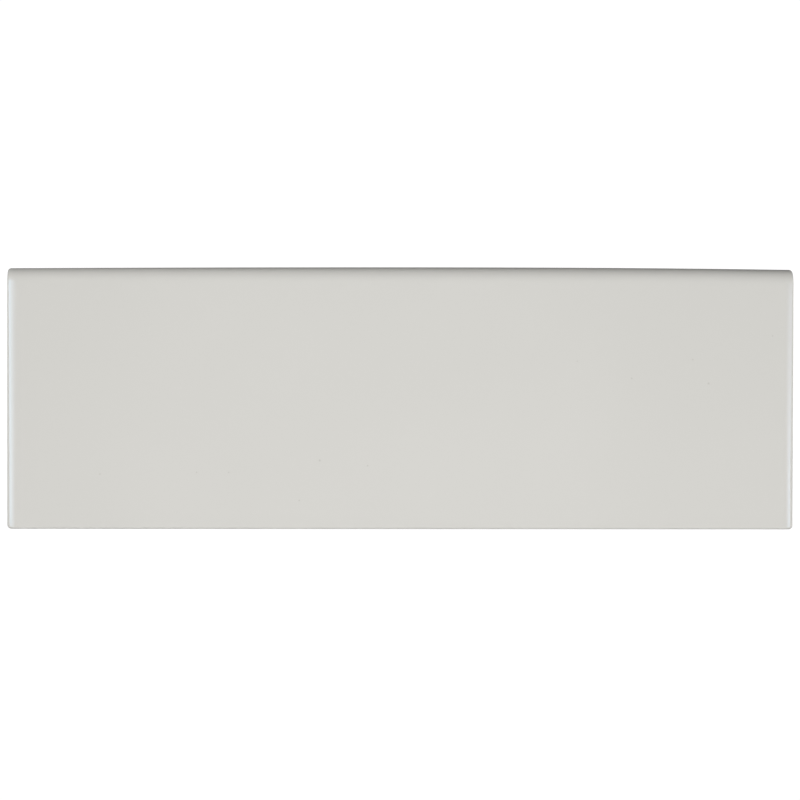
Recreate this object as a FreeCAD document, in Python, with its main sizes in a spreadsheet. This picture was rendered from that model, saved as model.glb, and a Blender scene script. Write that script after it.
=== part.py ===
import FreeCAD, Part
import math
import os

import Sketcher
from FreeCAD import Vector

# A pressed and glazed bullnose wall tile, fired as one piece, in millimetres.
# It lies face up on its back: X runs along its length, +Y points to the rounded bullnose edge
# and +Z points out of the glazed face. The origin is at the middle of the back.

NODE = "bullnose_tile"
OUT_FOLDER = "parts"
# how far from a plane an edge may stray and still count as lying in it
ON_PLANE = 1e-4

# Driving dimensions, in millimetres and degrees
SIZES = {
    "tile_length": 300.0,
    "tile_width": 100.0,
    "thickness": 8.0,
    # straight stretch of the nose between the back and the bullnose curve
    "nose_land": 1.8,
    # radius of the slight bow that the nose takes in the firing, seen from above
    "nose_bow": 16000.0,
    # rounded shoulder along both ends and round the ends of the bullnose
    "end_cushion": 2.0,
    # smaller rounding along the straight side that meets the next tile
    "butt_rounding": 1.2,
    # taper of the ends and the straight side, which frees the tile from its press
    "press_draft": 3.0,
    # bevel around the back
    "back_bevel": 0.4,
    # square recesses in the back that key the adhesive, and the ribs between them
    "key_cell": 14.0,
    "key_rib": 2.8,
    "key_margin": 8.0,
    "key_depth": 0.7,
    "key_draft": 30.0,
}


def add_sizes(doc):
    """Puts the driving dimensions in a spreadsheet, one alias to a row."""
    sheet = doc.addObject("Spreadsheet::Sheet", "sizes")
    for row, (name, value) in enumerate(SIZES.items(), start=1):
        sheet.set(f"A{row}", name)
        sheet.set(f"B{row}", str(value))
        sheet.setAlias(f"B{row}", name)
    doc.recompute()
    return sheet


def origin_item(body, role):
    """One of the body's own origin planes or axes, such as XY_Plane."""
    return next(o for o in body.Origin.OriginFeatures if o.Role == role)


def bind(sketch, constraint, name, expression):
    """Adds a named dimension to a sketch and ties it to the sheet."""
    sketch.addConstraint(constraint)
    sketch.renameConstraint(sketch.ConstraintCount - 1, name)
    sketch.setExpression(f"Constraints.{name}", expression)


def edge_names(shape, wanted):
    """The names of the edges that pass a test."""
    return [f"Edge{i}" for i, edge in enumerate(shape.Edges, start=1) if wanted(edge)]


def side_face(shape, direction):
    """The index of the flat side that lies furthest along a direction, and its face."""
    flat = [
        (face.CenterOfMass.dot(direction), i, face)
        for i, face in enumerate(shape.Faces, start=1)
        if face.Surface.TypeId == "Part::GeomPlane"
    ]
    _, index, face = max(flat, key=lambda entry: entry[0])
    return index, face


def on_back(edge):
    """True for an edge that lies in the plane of the back."""
    return edge.BoundBox.ZMax < ON_PLANE


def add_plan_outline(body):
    """The tile seen from above: two ends, the straight side and the bowed nose."""
    half_length = SIZES["tile_length"] / 2
    half_width = SIZES["tile_width"] / 2
    bow = SIZES["nose_bow"]
    bow_centre = half_width - bow
    nose_end = bow_centre + math.sqrt(bow**2 - half_length**2)
    corners = [
        Vector(-half_length, nose_end, 0),
        Vector(-half_length, -half_width, 0),
        Vector(half_length, -half_width, 0),
        Vector(half_length, nose_end, 0),
    ]
    apex = Vector(0, half_width, 0)
    sketch = body.newObject("Sketcher::SketchObject", "plan_outline")
    sketch.AttachmentSupport = [(origin_item(body, "XY_Plane"), "")]
    sketch.MapMode = "FlatFace"
    for corner, next_corner in zip(corners, corners[1:]):
        sketch.addGeometry(Part.LineSegment(corner, next_corner))
    sketch.addGeometry(Part.Arc(corners[-1], apex, corners[0]))

    # the numbers by which a sketch knows its own lines, their ends and its two datums
    left, butt, right, nose = range(4)
    start, end, middle = 1, 2, 3
    origin, y_axis = -1, -2
    for first, second in ((left, butt), (butt, right), (right, nose), (nose, left)):
        sketch.addConstraint(Sketcher.Constraint("Coincident", first, end, second, start))
    sketch.addConstraint(Sketcher.Constraint("Vertical", left))
    sketch.addConstraint(Sketcher.Constraint("Vertical", right))
    sketch.addConstraint(Sketcher.Constraint("Symmetric", butt, start, butt, end, y_axis))
    sketch.addConstraint(Sketcher.Constraint("PointOnObject", nose, middle, y_axis))
    bind(
        sketch,
        Sketcher.Constraint("DistanceX", butt, start, butt, end, 2 * half_length),
        "length",
        "sizes.tile_length",
    )
    bind(
        sketch,
        Sketcher.Constraint("DistanceY", butt, start, origin, start, half_width),
        "butt_reach",
        "sizes.tile_width / 2",
    )
    bind(
        sketch,
        Sketcher.Constraint("Radius", nose, bow),
        "bow",
        "sizes.nose_bow",
    )
    bind(
        sketch,
        Sketcher.Constraint("DistanceY", nose, middle, origin, start, -bow_centre),
        "bow_centre",
        "sizes.nose_bow - sizes.tile_width / 2",
    )
    return sketch


def add_blank(body):
    """The pressed blank, with square edges."""
    blank = body.newObject("PartDesign::Pad", "blank")
    blank.Profile = add_plan_outline(body)
    blank.setExpression("Length", "sizes.thickness")
    body.Document.recompute()
    return blank


def add_draft(body, base, name, directions, rounding):
    """Tapers flat sides towards the back, from where the rounding of the edge ends and the tile is widest."""
    widest = body.newObject("PartDesign::Plane", f"{name}_widest")
    widest.AttachmentSupport = [(origin_item(body, "XY_Plane"), "")]
    widest.MapMode = "FlatFace"
    widest.setExpression("AttachmentOffset.Base.z", f"sizes.thickness - sizes.{rounding}")
    body.Document.recompute()
    faces = [f"Face{side_face(base.Shape, direction)[0]}" for direction in directions]
    draft = body.newObject("PartDesign::Draft", name)
    draft.Base = (base, faces)
    draft.NeutralPlane = (widest, [""])
    draft.Reversed = True
    draft.setExpression("Angle", "sizes.press_draft")
    body.Document.recompute()
    return draft


def add_rounding(body, base, name, edges, radius):
    """Rounds the named edges of the feature before it."""
    rounding = body.newObject("PartDesign::Fillet", name)
    rounding.Base = (base, edges)
    rounding.setExpression("Radius", radius)
    body.Document.recompute()
    return rounding


def add_bullnose(body, base):
    """Rolls the long front edge of the face down to the nose."""
    face_height = base.Shape.BoundBox.ZMax

    def is_nose_edge(edge):
        box = edge.BoundBox
        return box.ZMin > face_height - ON_PLANE and edge.CenterOfMass.y > 0 and box.XLength > box.YLength

    edges = edge_names(base.Shape, is_nose_edge)
    return add_rounding(body, base, "bullnose", edges, "sizes.thickness - sizes.nose_land")


def add_end_cushions(body, base):
    """Rounds both ends of the section, over the face and down the bullnose."""
    _, butt_side = side_face(base.Shape, Vector(0, -1, 0))
    ends = [side_face(base.Shape, direction)[1] for direction in (Vector(-1, 0, 0), Vector(1, 0, 0))]

    def is_section_edge(edge):
        of_end = any(edge.isSame(other) for end in ends for other in end.Edges)
        of_butt = any(edge.isSame(other) for other in butt_side.Edges)
        return of_end and not of_butt and not on_back(edge)

    edges = edge_names(base.Shape, is_section_edge)
    return add_rounding(body, base, "end_cushions", edges, "sizes.end_cushion")


def add_butt_rounding(body, base):
    """Rounds the top and the two corners of the straight side."""
    _, butt_side = side_face(base.Shape, Vector(0, -1, 0))

    def is_butt_edge(edge):
        return any(edge.isSame(other) for other in butt_side.Edges) and not on_back(edge)

    edges = edge_names(base.Shape, is_butt_edge)
    return add_rounding(body, base, "butt_rounding", edges, "sizes.butt_rounding")


def add_back_bevel(body, base):
    """Takes the sharp edge off the outline of the back."""
    bevel = body.newObject("PartDesign::Chamfer", "back_bevel")
    bevel.Base = (base, edge_names(base.Shape, on_back))
    bevel.setExpression("Size", "sizes.back_bevel")
    body.Document.recompute()
    return bevel


def add_adhesive_key(body, base):
    """Presses rows of square recesses into the back, with walls that lean to free the punch."""
    pitch = "(sizes.key_cell + sizes.key_rib)"
    lean = "sizes.key_depth * tan(sizes.key_draft * 1 deg)"
    counts = {
        side: f"floor((sizes.{side} - 2 * sizes.key_margin + sizes.key_rib) / {pitch})"
        for side in ("tile_length", "tile_width")
    }
    reach = {side: f"({count} * {pitch} - sizes.key_rib) / 2" for side, count in counts.items()}
    recess = body.newObject("PartDesign::SubtractiveWedge", "key_recess")
    recess.AttachmentSupport = [(origin_item(body, "XZ_Plane"), "")]
    recess.MapMode = "FlatFace"
    # on this plane the wedge's own Y runs up into the tile and its own Z runs towards the straight side
    mouth = {
        "Xmin": f"-{reach['tile_length']}",
        "Xmax": f"-{reach['tile_length']} + sizes.key_cell",
        "Zmin": f"{reach['tile_width']} - sizes.key_cell",
        "Zmax": f"{reach['tile_width']}",
        "Ymin": "0",
        "Ymax": "sizes.key_depth",
    }
    bed = {
        "X2min": f"{mouth['Xmin']} + {lean}",
        "X2max": f"{mouth['Xmax']} - {lean}",
        "Z2min": f"{mouth['Zmin']} + {lean}",
        "Z2max": f"{mouth['Zmax']} - {lean}",
    }
    for name, expression in {**mouth, **bed}.items():
        recess.setExpression(name, expression)
    body.Document.recompute()

    pattern = body.newObject("PartDesign::LinearPattern", "adhesive_key")
    pattern.Originals = [recess]
    pattern.Direction = (origin_item(body, "X_Axis"), [""])
    pattern.Direction2 = (origin_item(body, "Y_Axis"), [""])
    pattern.Mode = "Extent"
    pattern.Mode2 = "Extent"
    pattern.setExpression("Length", f"({counts['tile_length']} - 1) * {pitch}")
    pattern.setExpression("Length2", f"({counts['tile_width']} - 1) * {pitch}")
    pattern.setExpression("Occurrences", counts["tile_length"])
    pattern.setExpression("Occurrences2", counts["tile_width"])
    body.Tip = pattern
    body.Document.recompute()
    if pattern.Shape.Volume >= base.Shape.Volume:
        raise RuntimeError("the recesses in the back cut nothing")
    return pattern


def add_tile(doc):
    """One fired piece: the blank, its tapers and roundings, and the keyed back."""
    body = doc.addObject("PartDesign::Body", NODE)
    blank = add_blank(body)
    ends = [Vector(-1, 0, 0), Vector(1, 0, 0)]
    drafted_ends = add_draft(body, blank, "end_draft", ends, "end_cushion")
    drafted = add_draft(body, drafted_ends, "butt_draft", [Vector(0, -1, 0)], "butt_rounding")
    nosed = add_bullnose(body, drafted)
    cushioned = add_end_cushions(body, nosed)
    rounded = add_butt_rounding(body, cushioned)
    bevelled = add_back_bevel(body, rounded)
    add_adhesive_key(body, bevelled)
    return body


def check(doc, pieces):
    """Stops the build if a feature failed or a piece isn't one valid solid."""
    for item in doc.Objects:
        if "Invalid" in item.State or "Error" in item.State:
            raise RuntimeError(f"{item.Label} failed: {item.State} {item.getStatusString()}")
    for piece in pieces:
        shape = piece.Shape
        if shape.isNull() or not shape.isValid() or len(shape.Solids) != 1:
            raise RuntimeError(f"{piece.Label} is not one valid solid")


def main():
    """Builds the tile, checks it and writes its solid."""
    doc = FreeCAD.newDocument("tile")
    add_sizes(doc)
    pieces = [add_tile(doc)]
    check(doc, pieces)
    os.makedirs(OUT_FOLDER, exist_ok=True)
    for piece in pieces:
        box = piece.Shape.optimalBoundingBox(True, False)
        print(piece.Label, round(box.XLength, 3), round(box.YLength, 3), round(box.ZLength, 3))
        print("volume", round(piece.Shape.Volume, 1), "faces", len(piece.Shape.Faces))
        piece.Shape.exportStep(os.path.join(OUT_FOLDER, f"{piece.Label}.step"))


main()
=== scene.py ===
# %% [markdown]
# # A glazed bullnose tile
# A bullnose tile closes the open edge of a tiled wall: one long edge is rolled over in a quarter
# round, so no raw edge shows. It is pressed from clay powder, coated with glaze and fired, and its
# two short ends drop away in soft shoulders.
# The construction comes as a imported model, loaded here as a fixed frame. Everything below is in
# metres in that frame: length along X, the rolled edge towards +Y, the glazed face up.

# %% Load the fixed frame
import math

import bpy
from mathutils import Euler, Matrix, Vector


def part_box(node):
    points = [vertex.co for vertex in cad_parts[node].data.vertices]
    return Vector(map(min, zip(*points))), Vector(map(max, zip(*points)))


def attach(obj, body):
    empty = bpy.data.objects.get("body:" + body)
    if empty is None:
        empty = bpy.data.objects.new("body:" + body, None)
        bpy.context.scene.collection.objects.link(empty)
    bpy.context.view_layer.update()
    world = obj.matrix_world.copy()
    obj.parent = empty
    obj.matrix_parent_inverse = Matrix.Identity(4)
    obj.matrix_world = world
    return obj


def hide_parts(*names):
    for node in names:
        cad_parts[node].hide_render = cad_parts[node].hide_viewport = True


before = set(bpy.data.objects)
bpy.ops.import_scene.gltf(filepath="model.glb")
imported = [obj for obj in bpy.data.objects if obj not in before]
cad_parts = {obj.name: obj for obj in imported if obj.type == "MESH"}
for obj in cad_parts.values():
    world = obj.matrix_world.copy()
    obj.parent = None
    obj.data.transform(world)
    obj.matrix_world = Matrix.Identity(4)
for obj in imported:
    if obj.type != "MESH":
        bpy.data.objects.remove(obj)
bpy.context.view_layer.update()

MM = 0.001
CAD_NODE = "bullnose_tile"

low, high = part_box(CAD_NODE)
tile_length, tile_width, tile_thickness = high - low
tile_centre = (low + high) / 2
print("solids in the frame:", list(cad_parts))
print("tile from the frame:", [round(side / MM, 2) for side in high - low], "mm")

# %% [markdown]
# ## Writing formulas with nodes
# The tile's surface follows a rule, so it is made by Geometry Nodes. A node tree does its sums
# with Math nodes, one node a step, and long chains of them are hard to read. They could be wired
# one by one, but the small class below wraps an output socket instead, so that a formula can be
# written as on paper while each plus or times still adds its own node. The same helpers serve the
# material and the lights later on.

# %% Add and feed nodes
def connect(tree, value, socket):
    """Feed a socket from an amount or another socket, or give it a plain value."""
    if isinstance(value, Amount):
        value = value.socket
    if isinstance(value, bpy.types.NodeSocket):
        tree.links.new(value, socket)
    else:
        socket.default_value = value


def add_node(tree, kind, feeds=None, **settings):
    """Add a node, make its own settings, and feed the inputs named by label or number."""
    node = tree.nodes.new(kind)
    for name, value in settings.items():
        setattr(node, name, value)
    for name, value in (feeds or {}).items():
        connect(tree, value, node.inputs[name])
    return node


print("helpers:", connect.__name__, "and", add_node.__name__)

# %% Sums made of Math nodes
class Amount:
    """A number that varies over the piece, held as a socket: each sum adds one Math node."""

    def __init__(self, tree, socket):
        self.tree = tree
        self.socket = socket

    def step(self, operation, *feeds):
        """Add one Math node, fed in the order given."""
        node = add_node(self.tree, "ShaderNodeMath", dict(enumerate(feeds)), operation=operation)
        return Amount(self.tree, node.outputs[0])

    def __add__(self, other):
        return self.step("ADD", self, other)

    def __radd__(self, other):
        return self.step("ADD", other, self)

    def __sub__(self, other):
        return self.step("SUBTRACT", self, other)

    def __rsub__(self, other):
        return self.step("SUBTRACT", other, self)

    def __mul__(self, other):
        return self.step("MULTIPLY", self, other)

    def __rmul__(self, other):
        return self.step("MULTIPLY", other, self)

    def __truediv__(self, other):
        return self.step("DIVIDE", self, other)

    def __rtruediv__(self, other):
        return self.step("DIVIDE", other, self)

    def at_least(self, other):
        return self.step("MAXIMUM", self, other)

    def at_most(self, other):
        return self.step("MINIMUM", self, other)

    def below(self, other):
        return self.step("LESS_THAN", self, other)

    def above(self, other):
        return self.step("GREATER_THAN", self, other)

    def power(self, other):
        return self.step("POWER", self, other)

    def magnitude(self):
        return self.step("ABSOLUTE", self)

    def sign(self):
        return self.step("SIGN", self)

    def sine(self):
        return self.step("SINE", self)

    def cosine(self):
        return self.step("COSINE", self)

    def tangent(self):
        return self.step("TANGENT", self)


print("class", Amount.__name__, "adds one Math node for each sum")

# %% Blend amounts, and split and join places
def blend(start, end, share):
    """Go from one amount to another as the share goes from 0 to 1."""
    return start + (end - start) * share


def spread(tree, vector):
    """Split a vector socket into three amounts."""
    node = add_node(tree, "ShaderNodeSeparateXYZ", {0: vector})
    return [Amount(tree, socket) for socket in node.outputs]


def gather(tree, x, y, z):
    """Join three amounts into a vector socket."""
    return add_node(tree, "ShaderNodeCombineXYZ", {0: x, 1: y, 2: z}).outputs[0]


print("helpers:", blend.__name__, spread.__name__, "and", gather.__name__)

# %% [markdown]
# ## The tile's sizes
# These are the sizes that a tile maker would set: the roll of the nose, the shoulders where the
# face drops at both ends, the small rounding along the straight butt edge, the taper that lets the
# tile leave its mould, and the waffle on the back that grips the adhesive. Fired clay is never
# quite straight, so the nose also has a bow, which sets it back at both ends, and a sway along its
# length. The sizes become the named inputs of the node tree, so each can be changed alone in the
# modifier.

# %% Name the sizes
SHAPE_SIZES = {
    "Length": tile_length,
    "Width": tile_width,
    "Thickness": tile_thickness,
    "Nose drop": 6.2 * MM,
    "Nose run": 5.6 * MM,
    "Nose bow at middle": 0.035 * MM,
    "Nose bow at ends": 0.7 * MM,
    "Nose bow power": 2.25,
    "Nose sway": 0.26 * MM,
    "Shoulder drop at butt": 1.6 * MM,
    "Shoulder drop at nose": 1.2 * MM,
    "Shoulder run at butt": 3.3 * MM,
    "Shoulder run on face": 4.1 * MM,
    "Shoulder run at nose": 1.2 * MM,
    "Butt rounding": 0.7 * MM,
    "Butt corner radius": 1.45 * MM,
    "Press draft": math.radians(3.0),
    "Back bevel": 0.4 * MM,
    "Glaze wave": 0.012 * MM,
    "Glaze wave length": 30.0 * MM,
    "Key cell": 14.0 * MM,
    "Key rib": 2.8 * MM,
    "Key depth": 0.7 * MM,
    "Key lean": math.radians(30.0),
    "Key corner": 1.0 * MM,
}


def in_mm(label):
    """One of the sizes in millimetres, for printing."""
    return round(SHAPE_SIZES[label] / MM, 3)


print("nose:", in_mm("Nose run"), "mm across and", in_mm("Nose drop"), "mm down")

# %% Count the waffle's cells
KEY_MARGIN = 8.0 * MM


def cells_that_fit(room):
    """Count the waffle cells that fit between the margins of one side."""
    cell = SHAPE_SIZES["Key cell"]
    rib = SHAPE_SIZES["Key rib"]
    return int((room - 2 * KEY_MARGIN + rib) / (cell + rib))


SHAPE_COUNTS = {
    "Key columns": cells_that_fit(tile_length),
    "Key rows": cells_that_fit(tile_width),
}
print("waffle on the back:", SHAPE_COUNTS["Key columns"], "by", SHAPE_COUNTS["Key rows"], "cells")

# %% [markdown]
# ## A tree with named inputs
# A Geometry Nodes tree is a recipe, and its inputs are what shows in the modifier. Each size gets
# an input of its own with its usual value, so the numbers stand in one place and the formulas
# below use only their names.

# %% Start the tree and its inputs
tile_tree = bpy.data.node_groups.new("Bullnose tile", "GeometryNodeTree")


def add_input(label, kind, value):
    """Give the tile's tree a named input with its usual value."""
    socket = tile_tree.interface.new_socket(label, in_out="INPUT", socket_type=kind)
    socket.default_value = value


for label, value in SHAPE_SIZES.items():
    add_input(label, "NodeSocketFloat", value)
for label, value in SHAPE_COUNTS.items():
    add_input(label, "NodeSocketInt", value)
tile_tree.interface.new_socket("Material", in_out="INPUT", socket_type="NodeSocketMaterial")
tile_tree.interface.new_socket("Tile", in_out="OUTPUT", socket_type="NodeSocketGeometry")
tile_inputs = add_node(tile_tree, "NodeGroupInput")


def size(label):
    """Read one named input of the tile's tree."""
    return Amount(tile_tree, tile_inputs.outputs[label])


print("tree started, with", len(SHAPE_SIZES), "sizes and", len(SHAPE_COUNTS), "counts")

# %% [markdown]
# ## The glazed shell
# The face, the nose, the shoulders and the butt rounding are one skin of glaze with no seam, so
# they are made as one grid whose rows and columns are dealt out to the zones. A column number
# gives the turn of the shoulder, a row number gives the turn of the nose or of the butt rounding,
# and the three turns together give each point's place. Bevelling a box would be quicker, but it
# can't make a shoulder that is long on the face and short where it meets the nose.

# %% Deal the grid's steps out to the zones
FACE_COLUMNS = 244
SHOULDER_COLUMNS = 14
FACE_ROWS = 74
NOSE_ROWS = 18
BUTT_ROWS = 7
ALL_COLUMNS = FACE_COLUMNS + 2 * SHOULDER_COLUMNS
ALL_ROWS = BUTT_ROWS + FACE_ROWS + NOSE_ROWS
grid_feeds = {
    "Size X": float(ALL_COLUMNS),
    "Size Y": float(ALL_ROWS),
    "Vertices X": ALL_COLUMNS + 1,
    "Vertices Y": ALL_ROWS + 1,
}
grid = add_node(tile_tree, "GeometryNodeMeshGrid", grid_feeds).outputs["Mesh"]
print("grid of", ALL_COLUMNS, "columns and", ALL_ROWS, "rows")

# %% [markdown]
# The grid's points stand one unit apart, so a point's place tells its column and its row. Counting
# how far it lies past the flat face gives its turn round the shoulder, the nose or the butt edge:
# none on the face, and a quarter turn at the rim.

# %% Turn the steps into angles
QUARTER_TURN = math.pi / 2


def here():
    """The place of each point, as three amounts."""
    return spread(tile_tree, add_node(tile_tree, "GeometryNodeInputPosition").outputs[0])


column, centred_row, _ = here()
row = centred_row + ALL_ROWS / 2
side = column.sign()
end_steps = (column.magnitude() - FACE_COLUMNS / 2).at_least(0.0)
end_turn = end_steps * (QUARTER_TURN / SHOULDER_COLUMNS)
butt_turn = (BUTT_ROWS - row).at_least(0.0) * (QUARTER_TURN / BUTT_ROWS)
nose_turn = (row - (BUTT_ROWS + FACE_ROWS)).at_least(0.0) * (QUARTER_TURN / NOSE_ROWS)
along_face = (column.magnitude() * (2 / FACE_COLUMNS)).at_most(1.0)
across_face = ((row - BUTT_ROWS) * (1 / FACE_ROWS)).at_least(0.0).at_most(1.0)
print("one row turns the nose by", round(math.degrees(QUARTER_TURN / NOSE_ROWS), 1), "degrees")

# %% [markdown]
# A shoulder isn't the same all along: it is long and low on the face and tight where it meets the
# nose, and the butt rounding widens into the two corners. Each is blended from a size at one end
# to a size at the other, which keeps the change smooth.

# %% Blend the shoulders and the butt rounding
face_run = blend(size("Shoulder run at butt"), size("Shoulder run on face"), across_face)
shoulder_run = blend(face_run, size("Shoulder run at nose"), nose_turn.sine())
shoulder_drop = blend(size("Shoulder drop at butt"), size("Shoulder drop at nose"), across_face)
shoulder_fall = shoulder_drop * (1.0 - end_turn.cosine())
butt_fall = 1.0 - butt_turn.cosine()
corner_share = end_turn.sine() * end_turn.sine()
butt_reach = blend(size("Butt rounding"), size("Butt corner radius"), corner_share)
print("shoulders run", in_mm("Shoulder run at butt"), "to", in_mm("Shoulder run on face"), "mm in")

# %% [markdown]
# Now each point gets its place. Along the tile it lies on the flat or in a shoulder, across it lies
# on the butt rounding, the face or the nose, and each turn lowers it. The nose follows its bow and
# sway, and both fade out across the face, so the butt edge stays straight.

# %% Place the shell's points
flat_half = size("Length") / 2.0 - shoulder_run
end_reach = shoulder_run - size("Butt corner radius") * butt_fall
shell_x = side * (flat_half * along_face + end_reach * end_turn.sine())

# the sway is nil in the middle and at both ends, out on one half and in on the other
off_middle = shell_x * 2.0 / size("Length")
toward_ends = off_middle.magnitude().power(size("Nose bow power"))
bow = blend(size("Nose bow at middle"), size("Nose bow at ends"), toward_ends)
sway = size("Nose sway") * off_middle * (1.0 - off_middle * off_middle)

butt_line = size("Width") / -2.0 + butt_reach
nose_line = size("Width") / 2.0 - size("Nose run")
nose_reach = size("Nose run") - shoulder_fall
shell_y = (
    blend(butt_line, nose_line, across_face)
    - butt_reach * butt_turn.sine()
    + nose_reach * nose_turn.sine()
    + (sway - bow) * across_face
)

butt_drop = size("Butt rounding") * butt_fall * end_turn.cosine()
nose_drop = (size("Nose drop") - shoulder_fall) * (1.0 - nose_turn.cosine())
shell_z = size("Thickness") - shoulder_fall - butt_drop - nose_drop
print("shell placed with", len(tile_tree.nodes), "nodes so far")

# %% [markdown]
# Fired glaze is never dead flat: it settles in long shallow waves that a straight reflection gives
# away. A soft noise lowers the face by about a hundredth of a millimetre, less and less towards
# the edges, so the tile stays inside its frame.

# %% Wave the glaze
WAVE_DETAIL = 1.0


def place(x, y, z):
    """Join three amounts into a place."""
    return gather(tile_tree, x, y, z)


def moved(geometry, position, selection=True):
    """Move the chosen points of a geometry to new places."""
    feeds = {"Geometry": geometry, "Selection": selection, "Position": position}
    return add_node(tile_tree, "GeometryNodeSetPosition", feeds).outputs[0]


wave_feeds = {
    "Vector": place(shell_x, shell_y, 0.0),
    "Scale": 1.0 / size("Glaze wave length"),
    "Detail": WAVE_DETAIL,
}
wave = Amount(tile_tree, add_node(tile_tree, "ShaderNodeTexNoise", wave_feeds).outputs[0])
flatness = end_turn.cosine() * butt_turn.cosine() * nose_turn.cosine()
waved_z = shell_z - size("Glaze wave") * wave * flatness
shell = moved(grid, place(shell_x, shell_y, waved_z))
print("glaze waves up to", in_mm("Glaze wave"), "mm deep")

# %% [markdown]
# ## The pressed sides
# Below the shell the sides run down to the back, leaning in by the mould's taper on the two ends
# and the butt side, and finish in a small bevel. Both stretches are made the same way: the open
# edge of the skin is extruded without moving, and the new points are then sent to their place.

# %% Run the sides down to the back
INNER_EDGE_FACES = 2


def open_edge():
    """Choose the edges that have a face on one side only."""
    faces = add_node(tile_tree, "GeometryNodeInputMeshEdgeNeighbors").outputs["Face Count"]
    return Amount(tile_tree, faces).below(INNER_EDGE_FACES)


def hem(mesh, x, y, z):
    """Extrude the open edge and send the new points to their place."""
    feeds = {"Mesh": mesh, "Selection": open_edge(), "Offset Scale": 0.0}
    node = add_node(tile_tree, "GeometryNodeExtrudeMesh", feeds, mode="EDGES")
    return moved(node.outputs["Mesh"], place(x, y, z), node.outputs["Top"])


edge_x, edge_y, edge_z = here()
lean = size("Press draft").tangent() * (edge_z - size("Back bevel"))
end_lean = lean * (edge_x.magnitude() * 2.0 / size("Length"))
butt_lean = lean * (edge_y * -2.0 / size("Width")).at_least(0.0)
sides = hem(shell, edge_x - edge_x.sign() * end_lean, edge_y + butt_lean, size("Back bevel"))

bevel_x = edge_x * (1.0 - size("Back bevel") * 2.0 / size("Length"))
bevel_y = edge_y * (1.0 - size("Back bevel") * 2.0 / size("Width"))
walls = hem(sides, bevel_x, bevel_y, 0.0)
print("sides lean in", round(math.degrees(SHAPE_SIZES["Press draft"]), 1), "degrees")

# %% [markdown]
# ## The keyed back
# Wall tiles have a waffle of shallow recesses pressed into the back, which keys into the adhesive.
# It could be cut cell by cell, but every cell is the same, so one is drawn as a rounded square and
# repeated on a grid of points.

# %% Draw one cell
CORNER_STEPS = 3
square_feeds = {"Width": size("Key cell"), "Height": size("Key cell")}
square = add_node(tile_tree, "GeometryNodeCurvePrimitiveQuadrilateral", square_feeds, mode="RECTANGLE")
fillet_feeds = {"Curve": square.outputs[0], "Count": CORNER_STEPS, "Radius": size("Key corner")}
cell_outline = add_node(tile_tree, "GeometryNodeFilletCurve", fillet_feeds, mode="POLY").outputs[0]
print("one cell is", in_mm("Key cell"), "mm square")

# %% Repeat it on a grid of points
pitch = size("Key cell") + size("Key rib")
key_grid_feeds = {
    "Size X": pitch * (size("Key columns") - 1.0),
    "Size Y": pitch * (size("Key rows") - 1.0),
    "Vertices X": size("Key columns"),
    "Vertices Y": size("Key rows"),
}
key_points = add_node(tile_tree, "GeometryNodeMeshGrid", key_grid_feeds).outputs["Mesh"]


def on_key_points(instance):
    """Repeat one cell on every point of the waffle and make the copies real."""
    feeds = {"Points": key_points, "Instance": instance}
    copies = add_node(tile_tree, "GeometryNodeInstanceOnPoints", feeds).outputs[0]
    return add_node(tile_tree, "GeometryNodeRealizeInstances", {"Geometry": copies}).outputs[0]


print("one cell every", round(in_mm("Key cell") + in_mm("Key rib"), 2), "mm")

# %% [markdown]
# The back sheet needs a hole for every recess. A boolean could cut them, but it is slow and leaves
# ragged faces. Here the curve round the back and the outlines of all the cells are filled together,
# so the fill leaves holes just where the recesses go. A recess is the same outline filled, pushed
# into the clay and narrowed, because the tool that presses it has leaning sides.

# %% Cut the back sheet
def joined(*parts):
    """Join several geometries."""
    node = add_node(tile_tree, "GeometryNodeJoinGeometry")
    for part in parts:
        tile_tree.links.new(part, node.inputs[0])
    return node.outputs[0]


def filled(curve, mode):
    """Fill a flat closed curve with triangles or with one many-sided face."""
    return add_node(tile_tree, "GeometryNodeFillCurve", {"Curve": curve}, mode=mode).outputs[0]


def flipped(mesh):
    """Turn faces over, so that they look down."""
    return add_node(tile_tree, "GeometryNodeFlipFaces", {"Mesh": mesh}).outputs[0]


rim_feeds = {"Mesh": walls, "Selection": open_edge()}
rim = add_node(tile_tree, "GeometryNodeMeshToCurve", rim_feeds).outputs[0]
back_sheet = flipped(filled(joined(rim, on_key_points(cell_outline)), "TRIANGLES"))
print("back sheet cut for", SHAPE_COUNTS["Key columns"] * SHAPE_COUNTS["Key rows"], "recesses")

# %% Sink the recesses
sink_feeds = {
    "Mesh": filled(cell_outline, "NGONS"),
    "Offset": place(0.0, 0.0, size("Key depth")),
    "Offset Scale": 1.0,
}
sunk = add_node(tile_tree, "GeometryNodeExtrudeMesh", sink_feeds, mode="FACES")
narrowing = 1.0 - size("Key lean").tangent() * size("Key depth") * 2.0 / size("Key cell")
lean_feeds = {"Geometry": sunk.outputs["Mesh"], "Selection": sunk.outputs["Top"], "Scale": narrowing}
recess = add_node(tile_tree, "GeometryNodeScaleElements", lean_feeds, domain="FACE").outputs[0]
recesses = on_key_points(flipped(recess))
print("recesses sunk", in_mm("Key depth"), "mm")

# %% [markdown]
# The skin, the back sheet and the recesses are welded along their shared edges into one closed
# body. Everything is shaded smooth except where the surface really breaks, as along the back
# bevel and the recess edges, and those edges are marked sharp.

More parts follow.
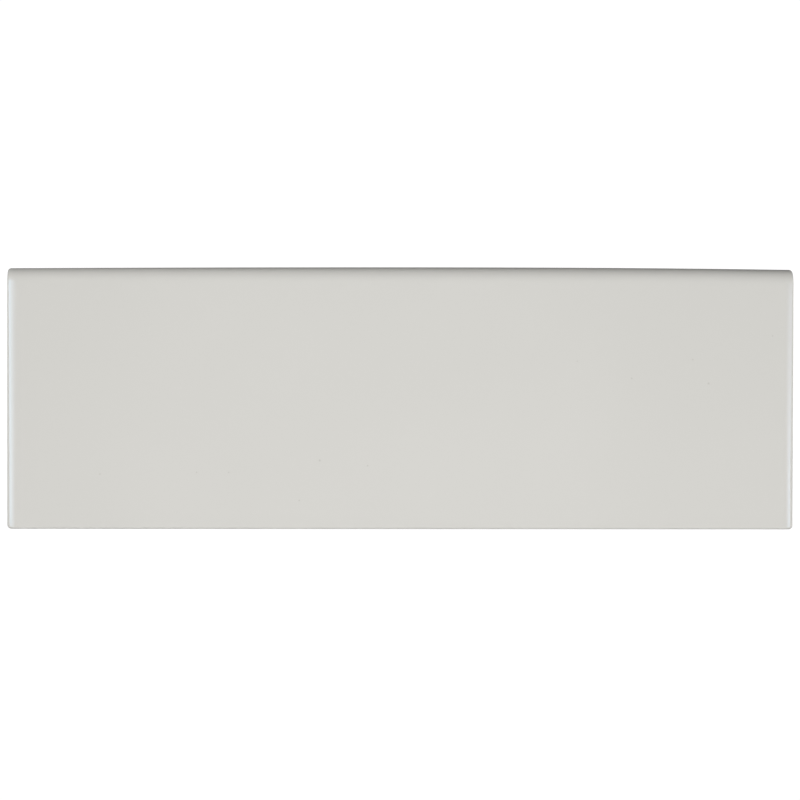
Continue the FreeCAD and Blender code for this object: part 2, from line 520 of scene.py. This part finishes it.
# %% Weld, shade and finish the tree
WELD = 0.005 * MM
SHARP_ANGLE = math.radians(32.0)
weld_feeds = {"Geometry": joined(walls, back_sheet, recesses), "Distance": WELD}
welded = add_node(tile_tree, "GeometryNodeMergeByDistance", weld_feeds).outputs[0]
smooth_feeds = {"Geometry": welded, "Shade Smooth": True}
smooth = add_node(tile_tree, "GeometryNodeSetShadeSmooth", smooth_feeds, domain="FACE").outputs[0]
edge_angle = add_node(tile_tree, "GeometryNodeInputMeshEdgeAngle").outputs["Unsigned Angle"]
sharp = Amount(tile_tree, edge_angle).above(SHARP_ANGLE)
sharp_feeds = {"Geometry": smooth, "Selection": sharp, "Shade Smooth": False}
shaded = add_node(tile_tree, "GeometryNodeSetShadeSmooth", sharp_feeds, domain="EDGE").outputs[0]
real = add_node(tile_tree, "GeometryNodeRealizeInstances", {"Geometry": shaded}).outputs[0]
finish_feeds = {"Geometry": real, "Material": tile_inputs.outputs["Material"]}
finished = add_node(tile_tree, "GeometryNodeSetMaterial", finish_feeds).outputs[0]
add_node(tile_tree, "NodeGroupOutput", {"Tile": finished})
print("tree of", len(tile_tree.nodes), "nodes")

# %% [markdown]
# ## The glaze and the bare clay
# The glaze is a thin glassy coat, light warm grey, sprayed from above: it covers the face and the
# nose and stops part way down the other sides in an uneven line. Below it the fired clay is bare,
# off-white, dry and grainy. Two materials would need an edge in the mesh to meet at, and the line
# between glaze and clay doesn't follow any, so one material holds both.

# %% Start the material
glaze = bpy.data.materials.new("light grey glaze over clay")
glaze.use_nodes = True
glaze_tree = glaze.node_tree
glaze_tree.nodes.clear()
object_place = add_node(glaze_tree, "ShaderNodeTexCoord").outputs["Object"]
_, glaze_y, glaze_z = spread(glaze_tree, object_place)
print("material started:", glaze.name)

# %% Noise, ramps and mixes
NOISE_DETAIL = 3.0
NOISE_ROUGHNESS = 0.5
# a Mix node repeats its sockets for every kind of data, and these are the ones for colours
MIX_FIRST = 6
MIX_SECOND = 7
MIX_RESULT = 2


def noise(where, wavelength, detail=NOISE_DETAIL, roughness=NOISE_ROUGHNESS):
    """Soft noise over the tile, from 0 to 1, with blotches of about the given size."""
    feeds = {"Vector": where, "Scale": 1.0 / wavelength, "Detail": detail, "Roughness": roughness}
    return Amount(glaze_tree, add_node(glaze_tree, "ShaderNodeTexNoise", feeds).outputs[0])


def ramp(value, start, end):
    """Go smoothly from 0 to 1 as an amount goes from start to end."""
    feeds = {"Value": value, "From Min": start, "From Max": end}
    node = add_node(value.tree, "ShaderNodeMapRange", feeds, interpolation_type="SMOOTHSTEP")
    return Amount(value.tree, node.outputs[0])


def mixed(share, first, second):
    """Mix two colours."""
    feeds = {"Factor": share, MIX_FIRST: first, MIX_SECOND: second}
    return add_node(glaze_tree, "ShaderNodeMix", feeds, data_type="RGBA").outputs[MIX_RESULT]


print("helpers:", noise.__name__, ramp.__name__, "and", mixed.__name__)

# %% [markdown]
# ### Where the glaze ends
# Sprayed glaze stops on the sides in a wavering line. A mask compares each point's height with
# that line, and a noise pushes the line up and down. On the nose the line lies lower and calmer,
# because the roll faces the spray almost down to the back.

# %% Find where the glaze ends
NOISE_MIDDLE = 0.5
GLAZE_LINE = 4.4 * MM
NOSE_GLAZE_LINE = 0.7 * MM
LINE_WOBBLE = 1.4 * MM
NOSE_LINE_WOBBLE = LINE_WOBBLE / 3
LINE_WAVE = 14.0 * MM
LINE_SOFTNESS = 0.10 * MM
NOSE_START = 40.0 * MM
NOSE_END = 47.0 * MM
on_nose = ramp(glaze_y, NOSE_START, NOSE_END)
line_wobble = blend(LINE_WOBBLE, NOSE_LINE_WOBBLE, on_nose)
wobble = (noise(object_place, LINE_WAVE) - NOISE_MIDDLE) * line_wobble
above_line = glaze_z + wobble - blend(GLAZE_LINE, NOSE_GLAZE_LINE, on_nose)
glazed = ramp(above_line, -LINE_SOFTNESS, LINE_SOFTNESS)
print("glaze line", GLAZE_LINE / MM, "mm above the back, and", NOSE_GLAZE_LINE / MM, "mm on the nose")

# %% [markdown]
# ### The colour of the glaze
# The grey is painted a shade lighter towards the butt edge, as painted light for the face being lit
# more strongly on that side, and broad faint clouds show where the coat lies thicker or thinner.
# One flat colour would look like plastic.

# %% Colour the glaze
# painted light: the glaze is lighter at the butt edge and darker at the nose, as the face is lit
SHADED_NOSE_GLAZE = (0.634, 0.626, 0.594, 1.0)
LIT_BUTT_GLAZE = (0.651, 0.642, 0.610, 1.0)
CLOUD = 45.0 * MM
CLOUD_SHARE = 0.6
painted_light_toward_butt = ramp(glaze_y, high.y, low.y)
cloud = noise(object_place, CLOUD) - NOISE_MIDDLE
# the painted light gradient and the clouds together set the mix
painted_light_and_cloud_share = (painted_light_toward_butt + cloud * CLOUD_SHARE).at_least(0.0).at_most(1.0)
painted_light_and_cloud_colour = mixed(painted_light_and_cloud_share, SHADED_NOSE_GLAZE, LIT_BUTT_GLAZE)
print("glaze coloured, with clouds of about", CLOUD / MM, "mm")

# %% [markdown]
# ### Pinholes
# Where gas broke through while the glaze was fired, it left a pinhole, a pit about a millimetre
# wide, and the shade in the pit is painted on as a darker colour. A noise would scatter them evenly
# and make a speckled glaze. This tile has only a few, so each is placed by its centre and its
# painted shade set by the distance from it.

# %% Prick the pinholes
# painted shade: the colour that darkens each pinhole's pit
PINHOLE_PAINTED_SHADE = (0.56, 0.55, 0.515, 1.0)
PINHOLE_CORE = 0.2
# along and across from the middle of the face, and the radius
PINHOLES_MM = [
    (111.4, 14.9, 0.48),
    (88.1, 7.7, 0.48),
    (117.5, 5.8, 0.62),
    (-31.0, -23.8, 0.60),
    (-12.7, -25.8, 0.46),
    (-65.7, -28.4, 0.42),
    (-77.9, -28.4, 0.42),
    (-114.7, -29.1, 0.46),
    (-38.8, -39.1, 0.45),
    (141.9, 24.0, 0.42),
    (67.3, 14.2, 0.38),
]


def pinhole(along, across, radius):
    """A spot on the face: 1 in its core, and 0 from its radius on."""
    feeds = {0: object_place, 1: (along, across, tile_thickness)}
    node = add_node(glaze_tree, "ShaderNodeVectorMath", feeds, operation="DISTANCE")
    distance = Amount(glaze_tree, node.outputs["Value"])
    return 1.0 - ramp(distance, radius * PINHOLE_CORE, radius)


spots = [pinhole(*(value * MM for value in hole)) for hole in PINHOLES_MM]
pinholes = spots[0]
for spot in spots[1:]:
    pinholes = pinholes.at_least(spot)
# painted shade in the pinholes, laid over the painted light and the clouds
painted_light_and_shade_glaze = mixed(pinholes, painted_light_and_cloud_colour, PINHOLE_PAINTED_SHADE)
print(len(spots), "pinholes in the glaze")

# %% [markdown]
# ### The bare clay
# Pressed clay fires to an off-white body with a fine grain, a faint mottle and some dark specks,
# and each is a noise of its own size. Noise is weak on the planes of its own lattice, and the back
# of the tile lies in such a plane, so a Mapping node first turns the pattern out of line with it.

# %% Colour the clay
CLAY_COLOUR = (0.78, 0.72, 0.62, 1.0)
CLAY_DARK_COLOUR = (0.56, 0.50, 0.41, 1.0)
CLAY_SPECK_COLOUR = (0.44, 0.37, 0.29, 1.0)
CLAY_GRAIN = 0.5 * MM
CLAY_MOTTLE = 9.0 * MM
CLAY_SPECK = 0.75 * MM
# radians about X, Y and Z
CLAY_TURN = (0.5, 0.7, 0.3)
GRAIN_ROUGHNESS = 0.7
GRAIN_RANGE = (0.3, 0.7)
GRAIN_SHARE = 0.6
SPECK_DETAIL = 1.0
SPECK_RANGE = (0.71, 0.79)
clay_feeds = {"Vector": object_place, "Rotation": CLAY_TURN}
clay_place = add_node(glaze_tree, "ShaderNodeMapping", clay_feeds).outputs[0]
clay_grain = ramp(noise(clay_place, CLAY_GRAIN, roughness=GRAIN_ROUGHNESS), *GRAIN_RANGE)
clay_tone = blend(noise(clay_place, CLAY_MOTTLE), clay_grain, GRAIN_SHARE)
clay_specks = ramp(noise(clay_place, CLAY_SPECK, detail=SPECK_DETAIL), *SPECK_RANGE)
plain_clay = mixed(clay_tone, CLAY_DARK_COLOUR, CLAY_COLOUR)
clay_colour = mixed(clay_specks, plain_clay, CLAY_SPECK_COLOUR)
print("clay coloured, with grain of about", CLAY_GRAIN / MM, "mm")

# %% [markdown]
# ### Gloss and relief
# Glaze is nearly as smooth as glass and clay is dry and matt, so the mask that parts their colours
# also parts their roughness. The coat stands proud of the clay, the grain roughens the clay alone
# and the pinholes dip. Relief this fine would take millions of faces as a mesh, so it is a bump.

# %% Finish the surface
GLAZE_ROUGHNESS = 0.06
CLOUD_ROUGHNESS = 0.06
CLAY_ROUGHNESS = 0.88
GLAZE_IOR = 1.5
GRAIN_HEIGHT = 0.05 * MM
GLAZE_THICKNESS = 0.15 * MM
PINHOLE_DEPTH = 0.03 * MM
glaze_roughness = cloud * CLOUD_ROUGHNESS + GLAZE_ROUGHNESS
clay_height = clay_grain * (1.0 - glazed) * GRAIN_HEIGHT
height = clay_height + glazed * GLAZE_THICKNESS - pinholes * PINHOLE_DEPTH
# the heights are in metres already, so the bump takes them at their full strength
bump_feeds = {"Height": height, "Strength": 1.0, "Distance": 1.0}
bump = add_node(glaze_tree, "ShaderNodeBump", bump_feeds)
shader_feeds = {
    "Base Color": mixed(glazed, clay_colour, painted_light_and_shade_glaze),
    "Roughness": blend(CLAY_ROUGHNESS, glaze_roughness, glazed),
    "Normal": bump.outputs[0],
    "IOR": GLAZE_IOR,
}
shader = add_node(glaze_tree, "ShaderNodeBsdfPrincipled", shader_feeds)
add_node(glaze_tree, "ShaderNodeOutputMaterial", {"Surface": shader.outputs[0]})
print("material of", len(glaze_tree.nodes), "nodes")

# %% [markdown]
# ## Making the piece
# The tree needs an object to work on. An empty mesh carries the modifier, each input is set by its
# socket's identifier, and the evaluated result is kept as a plain mesh. The modifier then goes, so
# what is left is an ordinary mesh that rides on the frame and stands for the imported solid.

# %% Turn the tree into a plain mesh
PIECE = "glazed_bullnose_tile"


def set_input(modifier, label, value):
    """Set a modifier's input by the identifier of the socket with this label."""
    for item in modifier.node_group.interface.items_tree:
        if item.item_type == "SOCKET" and item.in_out == "INPUT" and item.name == label:
            modifier[item.identifier] = value


tile = bpy.data.objects.new(PIECE, bpy.data.meshes.new(PIECE))
bpy.context.scene.collection.objects.link(tile)
shaper = tile.modifiers.new("Bullnose tile", "NODES")
shaper.node_group = tile_tree
for label, value in {**SHAPE_SIZES, **SHAPE_COUNTS, "Material": glaze}.items():
    set_input(shaper, label, value)
depsgraph = bpy.context.evaluated_depsgraph_get()
shaped = bpy.data.meshes.new_from_object(tile.evaluated_get(depsgraph), depsgraph=depsgraph)
tile.modifiers.remove(shaper)
shaped.name = PIECE
shaped.transform(Matrix.Translation((tile_centre.x, tile_centre.y, low.z)))
tile.data = shaped
print("tile mesh:", len(shaped.vertices), "points and", len(shaped.polygons), "faces")

# %% Seat the piece on the frame
BODY = "root"
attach(tile, BODY)
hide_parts(CAD_NODE)
print("piece", tile.name, "rides on", BODY, "and stands for", CAD_NODE)

# %% [markdown]
# ## The floor
# Product pictures of tiles are cut out on clean white. A white painted floor would take shadows and
# throw light up at the tile, so this one glows just enough to read as white, and only the camera
# sees it. It is one-sided: a view from below looks through it at the back of the tile.

# %% Lay the floor
FLOOR = "pale_floor"
FLOOR_HALF = 3.0
FLOOR_GAP = 0.2 * MM
CORNER_SIGNS = [(-1, -1), (1, -1), (1, 1), (-1, 1)]
floor_level = low.z - FLOOR_GAP
floor_corners = [(right * FLOOR_HALF, far * FLOOR_HALF, floor_level) for right, far in CORNER_SIGNS]
floor_mesh = bpy.data.meshes.new(FLOOR)
floor_mesh.from_pydata(floor_corners, [], [range(len(floor_corners))])
floor = bpy.data.objects.new(FLOOR, floor_mesh)
bpy.context.scene.collection.objects.link(floor)
floor.visible_diffuse = False
floor.visible_glossy = False
floor.visible_shadow = False
print("floor", FLOOR_HALF * 2, "m square, seen by the camera only")

# %% Make it glow on its upper side
PAPER_WHITE = 1.05
WHITE = (1.0, 1.0, 1.0, 1.0)
floor_finish = bpy.data.materials.new("white paper sweep")
floor_finish.use_nodes = True
floor_tree = floor_finish.node_tree
floor_tree.nodes.clear()
from_below = add_node(floor_tree, "ShaderNodeNewGeometry").outputs["Backfacing"]
paper = add_node(floor_tree, "ShaderNodeEmission", {"Color": WHITE, "Strength": PAPER_WHITE})
clear = add_node(floor_tree, "ShaderNodeBsdfTransparent", {"Color": WHITE})
sheet_feeds = {0: from_below, 1: paper.outputs[0], 2: clear.outputs[0]}
sheet = add_node(floor_tree, "ShaderNodeMixShader", sheet_feeds)
add_node(floor_tree, "ShaderNodeOutputMaterial", {"Surface": sheet.outputs[0]})
floor_mesh.materials.append(floor_finish)
print("floor glow", PAPER_WHITE, "of white")

# %% [markdown]
# ## The light
# The tile is lit as flat work is. A soft wall of light stands off each short end, the right one cut
# short on the nose's side, and a small scrim hangs over the middle, so the face is even and the
# nose, which turns away from all three, darkens towards its edge. A low card before the butt edge
# and one off the far left corner lift what faces them, and a light from below shows the back. One
# even dome would be simpler, but the nose would lose its shading.

# %% Set up the soft boxes
RIGHT = 0.0
FAR_LEFT = 125.0
LEFT = 180.0
BEFORE_BUTT = 270.0
NEUTRAL = WHITE[:3]


def soft_box(name, azimuth, reach, rises, span, glow, tint=NEUTRAL, foot=0.0, in_gloss=False):
    """Hang a soft box around the tile and face it inwards, for the body light or for the gloss.

    Azimuth is the side it stands on, in degrees. Reach is its distance, and rises are the angles
    of its lower and upper edge, as seen from a point on the face's level that lies foot metres out
    from the tile's middle. Span is where its two ends lie, counted to the left of its middle line
    as the tile sees it.
    """
    low_rise, high_rise = rises
    rise = math.radians((low_rise + high_rise) / 2)
    tall = 2 * reach * math.tan(math.radians((high_rise - low_rise) / 2))
    wide = max(span) - min(span)
    light = bpy.data.lights.new(name, "AREA")
    light.shape = "RECTANGLE"
    light.size = tall
    light.size_y = wide
    light.energy = math.pi * glow * wide * tall
    light.color = tint
    box = bpy.data.objects.new(name, light)
    standing = Vector((foot + reach * math.cos(rise), sum(span) / 2, high.z + reach * math.sin(rise)))
    box.location = Matrix.Rotation(math.radians(azimuth), 3, "Z") @ standing
    box.rotation_euler = (0.0, QUARTER_TURN - rise, math.radians(azimuth))
    box.visible_camera = False
    box.visible_glossy = in_gloss
    box.visible_diffuse = not in_gloss
    bpy.context.scene.collection.objects.link(box)
    return light


soft_box("left wall", LEFT, reach=1.5, rises=(0, 60), span=(-0.7, 0.7), glow=2.28)
soft_box("right wall", RIGHT, reach=1.5, rises=(0, 60), span=(-0.7, 0.45), glow=2.81)
soft_box("overhead scrim", RIGHT, reach=0.6, rises=(78, 102), span=(-0.13, 0.13), glow=6.5)
soft_box("low front card", BEFORE_BUTT, reach=1.2, rises=(0, 15), span=(-0.6, 0.6), glow=0.3)
soft_box("far left card", FAR_LEFT, reach=0.3, rises=(0, 8), span=(-0.05, 0.05), glow=5.0)
soft_box("light from below", RIGHT, reach=1.0, rises=(-110, -70), span=(-0.36, 0.36), glow=5.0)
print("soft boxes:", [light.name for light in bpy.data.lights])

# %% [markdown]
# The bright bands along the shoulders are reflections, and they get strips of their own that show
# in the gloss but add no light to the face, so that each can be set without upsetting the other.
# The strips hang close to the two ends, which keeps their reflection on the shoulders when the tile
# is seen from above. They fade towards their ends and their upper and lower edges, as a lamp behind
# a diffuser does.

# %% Hang the strips that show in the gloss
STRIP_REACH = 0.045
STRIP_FADE = 0.2
STRIP_SILL = 0.2
UNIT_GLOW = 1.0
COOL = (0.55, 0.76, 0.96)
PALE_COOL = (0.60, 0.75, 1.0)


def strip(name, azimuth, rises, span, glows, tint):
    """Hang a strip close to one end: its glow goes from one value to another along its span."""
    tile_end = tile_length / 2
    light = soft_box(name, azimuth, STRIP_REACH, rises, span, UNIT_GLOW, tint, tile_end, in_gloss=True)
    light.use_nodes = True
    tree = light.node_tree
    # across goes from the strip's upper edge to its lower one, and along from end to end
    across, along, _ = spread(tree, add_node(tree, "ShaderNodeNewGeometry").outputs["Parametric"])
    fade = ramp(along, 0.0, STRIP_FADE) * ramp(1.0 - along, 0.0, STRIP_FADE)
    sill = ramp(1.0 - across, 0.0, STRIP_SILL)
    strength = across * blend(*glows, along) * fade * sill
    connect(tree, strength, tree.nodes["Emission"].inputs["Strength"])


strip("left strip", LEFT, rises=(29, 84), span=(-0.078, 0.075), glows=(10.4, 8.6), tint=COOL)
strip("right strip", RIGHT, rises=(34, 74), span=(-0.075, 0.060), glows=(9.0, 3.5), tint=PALE_COOL)
print("lights in all:", len(bpy.data.lights))

# %% [markdown]
# ## The room
# The picture is white all round, but a white room would light the nose from every side and take
# its shading away. A Light Path node tells the camera's rays from the others, so the room is white
# to look at and dim as a light. The Standard view shows the colours as they are lit.

# %% Dim the room
ROOM_GLOW = 0.12
room = bpy.data.worlds.new("dim room")
room.use_nodes = True
room_tree = room.node_tree
room_shade = room_tree.nodes["Background"]
seen = Amount(room_tree, add_node(room_tree, "ShaderNodeLightPath").outputs["Is Camera Ray"])
connect(room_tree, WHITE, room_shade.inputs["Color"])
connect(room_tree, blend(ROOM_GLOW, PAPER_WHITE, seen), room_shade.inputs["Strength"])
bpy.context.scene.world = room
bpy.context.scene.view_settings.view_transform = "Standard"
print("room glow", ROOM_GLOW, "of white")

# %% [markdown]
# ## The camera
# The camera looks almost straight down on the tile from well above, so the sides stay hidden and
# the outline is nearly a plan. It hangs about a degree off plumb and is turned by a tenth of a
# degree, which gives the outline the slight slant that the picture has.

# %% Hang the camera
CAMERA_DISTANCE = 1.5
FRAME_WIDTH = 305.12 * MM
SENSOR_MM = 36.0
VIEW_POINT = Vector((-0.405 * MM, -0.7 * MM, high.z))
# degrees about X, Y and Z
CAMERA_TURNS = (-1.3, -1.25, 0.116)
camera_turn = Euler([math.radians(turn) for turn in CAMERA_TURNS])
lens = bpy.data.cameras.new("plan camera")
lens.sensor_width = SENSOR_MM
lens.lens = SENSOR_MM * CAMERA_DISTANCE / FRAME_WIDTH
camera = bpy.data.objects.new("plan camera", lens)
camera.rotation_euler = camera_turn
camera.location = VIEW_POINT + camera_turn.to_matrix() @ Vector((0.0, 0.0, CAMERA_DISTANCE))
bpy.context.scene.collection.objects.link(camera)
bpy.context.scene.camera = camera
print("camera at", [round(value, 3) for value in camera.location])
print("lens of", round(lens.lens), "mm")
